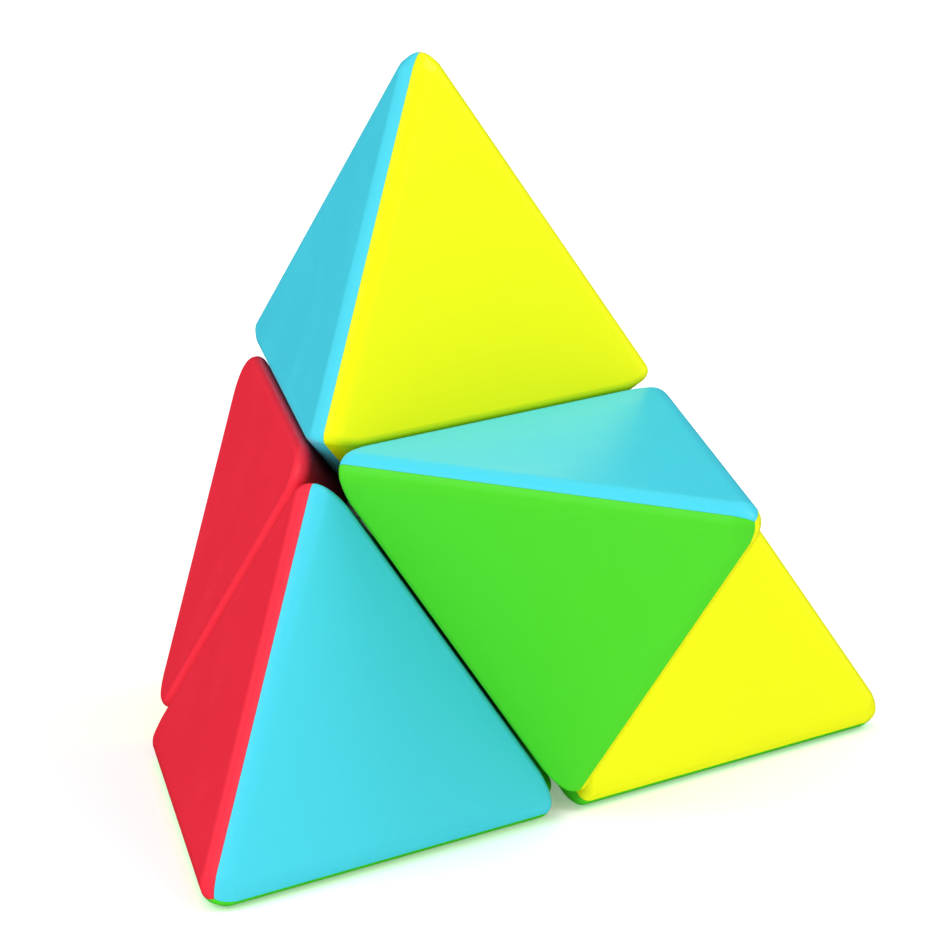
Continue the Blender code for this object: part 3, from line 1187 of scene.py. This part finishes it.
@dataclass
class Feet(Layers):
    """The feet of the outer pieces, with the blocks and bosses that hold their mouldings."""

    block_top: float = 27.0 * MM
    boss_radius: float = 2.2 * MM
    panel_skin: float = 1.1 * MM
    overlap: float = 0.6 * MM

    def corner_foot_mesh(self) -> bpy.types.Mesh:
        """Make a corner piece's foot, with the block that its coloured sides clip round.

        Returns:
            The foot's mesh.
        """
        sides = CornerPieces()
        inset = sides.wall + self.running_gap
        radius = sides.inner_radius - inset
        block = Solid.block(sides.outer_planes(inset)).cut(
            rounded_octant(inset, radius, sides.inner_segments)
        )
        block.cut([(DIAGONAL, self.block_top)])
        block = Solid.of_mesh(combined(block, [], [Solid.ball(sides.cavity_radius)]))
        least = self.outer_cut + self.running_gap / 2.0 + self.neck_inset
        top = sides.cavity_radius + self.overlap
        stalk = self.cell(beyond(least), self.outer_radius - self.running_gap, top)
        return self.linked_cells((0, 1, 2), (), joined=[stalk, block])

    def panel_foot_mesh(self) -> bpy.types.Mesh:
        """Make a panel piece's foot, with the boss that its coloured body is fixed to.

        Returns:
            The foot's mesh.
        """
        start = self.outer_radius - self.overlap - self.running_gap
        end = PUZZLE.inradius - self.panel_skin - self.running_gap
        boss = Solid.rod(DIAGONAL, self.boss_radius, start, end)
        return self.linked_cells((0, 1, 2), (), joined=[boss])

    def build(self, paints: Paints) -> list[bpy.types.Object]:
        """Make the eight feet.

        Args:
            paints: The materials.

        Returns:
            The pieces.
        """
        made = []
        for pieces, mesh in ((CORNERS, self.corner_foot_mesh()), (PANELS, self.panel_foot_mesh())):
            for name, (signs, _) in pieces.items():
                node = f"{name}_foot"
                turn = octant_turn(signs)
                piece = stand_in(f"{node}_body", mesh, turn, "black_plastic", paints, node)
                made.append(piece)
        return made


# Studio


@dataclass(frozen=True)
class SoftBox:
    """A square soft light that faces the puzzle.

    Its azimuth and elevation are where it stands, in degrees, its size is the length of its
    sides in metres, and its power is in watts.
    """

    name: str
    azimuth: float
    elevation: float
    size: float
    power: float


@dataclass
class Studio:
    """A pale floor, soft light all round, and the camera.

    The first fields place the camera: angles are in degrees and lengths in metres, but the
    focal length and the sensor's width are in millimetres. The pairs for the horizon and the
    backdrop are how far a direction points up or backwards where each starts and ends to fade.
    """

    azimuth: float = -40.83
    elevation: float = 17.05
    roll: float = 1.716
    distance: float = 0.4506
    focal_length: float = 177.16
    sensor_width: float = 36.0
    aim_right: float = 6.14 * MM
    aim_up: float = -8.05 * MM
    aim_height: float = 36.0 * MM
    contrast: float = 0.9
    floor_reach: float = 6.0
    floor_tones: tuple[float, float] = (0.99, 0.985)
    floor_cell: float = 0.4
    floor_roughness: float = 0.9
    floor_glow: float = 0.25
    sky_light: float = 0.94
    horizon: tuple[float, float] = (-0.05, 0.1)
    backdrop_light: float = 0.1
    backdrop_side: tuple[float, float] = (0.4, 0.75)
    backdrop_top: tuple[float, float] = (0.45, 0.75)
    box_distance: float = 0.8
    boxes: tuple[SoftBox, ...] = (
        SoftBox("left_box", azimuth=-88.0, elevation=42.0, size=0.6, power=2.2),
        SoftBox("right_box", azimuth=55.0, elevation=48.0, size=0.45, power=2.0),
    )

    def build_floor(self) -> bpy.types.Object:
        """Make the floor, level with the puzzle's base.

        Returns:
            The floor, which shows in no reflection.
        """
        bm = bmesh.new()
        bmesh.ops.create_grid(bm, x_segments=1, y_segments=1, size=self.floor_reach)
        mesh = bpy.data.meshes.new("floor")
        bm.to_mesh(mesh)
        bm.free()
        material = bpy.data.materials.new("floor_paper")
        graph = Graph(material)
        tones = (linear((level, level, level)) for level in self.floor_tones)
        graph.finish(
            base_color=graph.mix(graph.noise(self.floor_cell), *tones),
            roughness=self.floor_roughness,
            emission_color=(1.0, 1.0, 1.0, 1.0),
            emission_strength=self.floor_glow,
        )
        mesh.materials.append(material)
        floor = link("floor", mesh)
        floor.visible_glossy = False
        return floor

    def build_light(self) -> None:
        """Make the white surroundings and the soft boxes."""
        world = bpy.data.worlds.new("surroundings")
        graph = Graph(world)
        direction = graph.node("ShaderNodeTexCoord", output="Generated")
        height = graph.along(direction, (0.0, 0.0, 1.0))
        behind = graph.along(direction, -self._outwards(self.azimuth, 0.0))
        sky = graph.ease(height, *self.horizon)
        below = 1.0 - graph.ease(height, *self.backdrop_top)
        backdrop = graph.ease(behind, *self.backdrop_side) * below
        strength = sky * (1.0 - backdrop * (1.0 - self.backdrop_light)) * self.sky_light
        background = graph.node("ShaderNodeBackground", inputs={"Strength": strength})
        graph.add("ShaderNodeOutputWorld", {}, {"Surface": background})
        bpy.context.scene.world = world
        for box in self.boxes:
            self._light_box(box)

    def _light_box(self, box: SoftBox) -> None:
        """Make one soft box that faces the puzzle's centre.

        Args:
            box: The box.
        """
        data = bpy.data.lights.new(box.name, "AREA")
        data.size = box.size
        data.energy = box.power
        lamp = bpy.data.objects.new(box.name, data)
        outwards = self._outwards(box.azimuth, box.elevation)
        lamp.location = PUZZLE.centre + outwards * self.box_distance
        lamp.rotation_euler = outwards.to_track_quat("Z", "Y").to_euler()
        bpy.context.scene.collection.objects.link(lamp)

    @staticmethod
    def _outwards(azimuth: float, elevation: float) -> Vector:
        """Give the direction from the puzzle to a place round it.

        Args:
            azimuth: Which side the place is on, in degrees from the front right side.
            elevation: How high it is, in degrees.

        Returns:
            The direction.
        """
        turn, rise = math.radians(azimuth), math.radians(elevation)
        flat = math.cos(rise)
        return Vector((math.sin(turn) * flat, -math.cos(turn) * flat, math.sin(rise)))

    def build_camera(self) -> bpy.types.Object:
        """Make the camera.

        Returns:
            The camera.
        """
        data = bpy.data.cameras.new("camera")
        data.lens = self.focal_length
        data.sensor_width = self.sensor_width
        camera = bpy.data.objects.new("camera", data)
        outwards = self._outwards(self.azimuth, self.elevation)
        facing = outwards.to_track_quat("Z", "Y").to_matrix()
        facing = facing @ Matrix.Rotation(math.radians(self.roll), 3, "Z")
        right, up = facing.col[0], facing.col[1]
        aim = Vector((0.0, 0.0, self.aim_height)) + right * self.aim_right + up * self.aim_up
        camera.matrix_world = Matrix.Translation(aim + outwards * self.distance) @ facing.to_4x4()
        bpy.context.scene.collection.objects.link(camera)
        bpy.context.scene.camera = camera
        return camera

    def build(self) -> None:
        """Make the whole studio."""
        self.build_floor()
        self.build_light()
        self.build_camera()
        view = bpy.context.scene.view_settings
        view.view_transform = "Standard"
        view.gamma = self.contrast


def write_size() -> None:
    """Update the view layer."""
    bpy.context.view_layer.update()


def main() -> None:
    """Build the puzzle and its studio in order, and log each piece."""
    logging.basicConfig(level=logging.INFO, format="%(message)s")
    paints = Paints()
    for assembly in (CornerPieces(), PanelPieces(), Feet(), HiddenEdges(), CentreParts()):
        for piece in assembly.build(paints):
            LOG.info("%s: %s", type(assembly).__name__, piece.name)
    Studio().build()
    write_size()


if __name__ == "__main__":
    main()
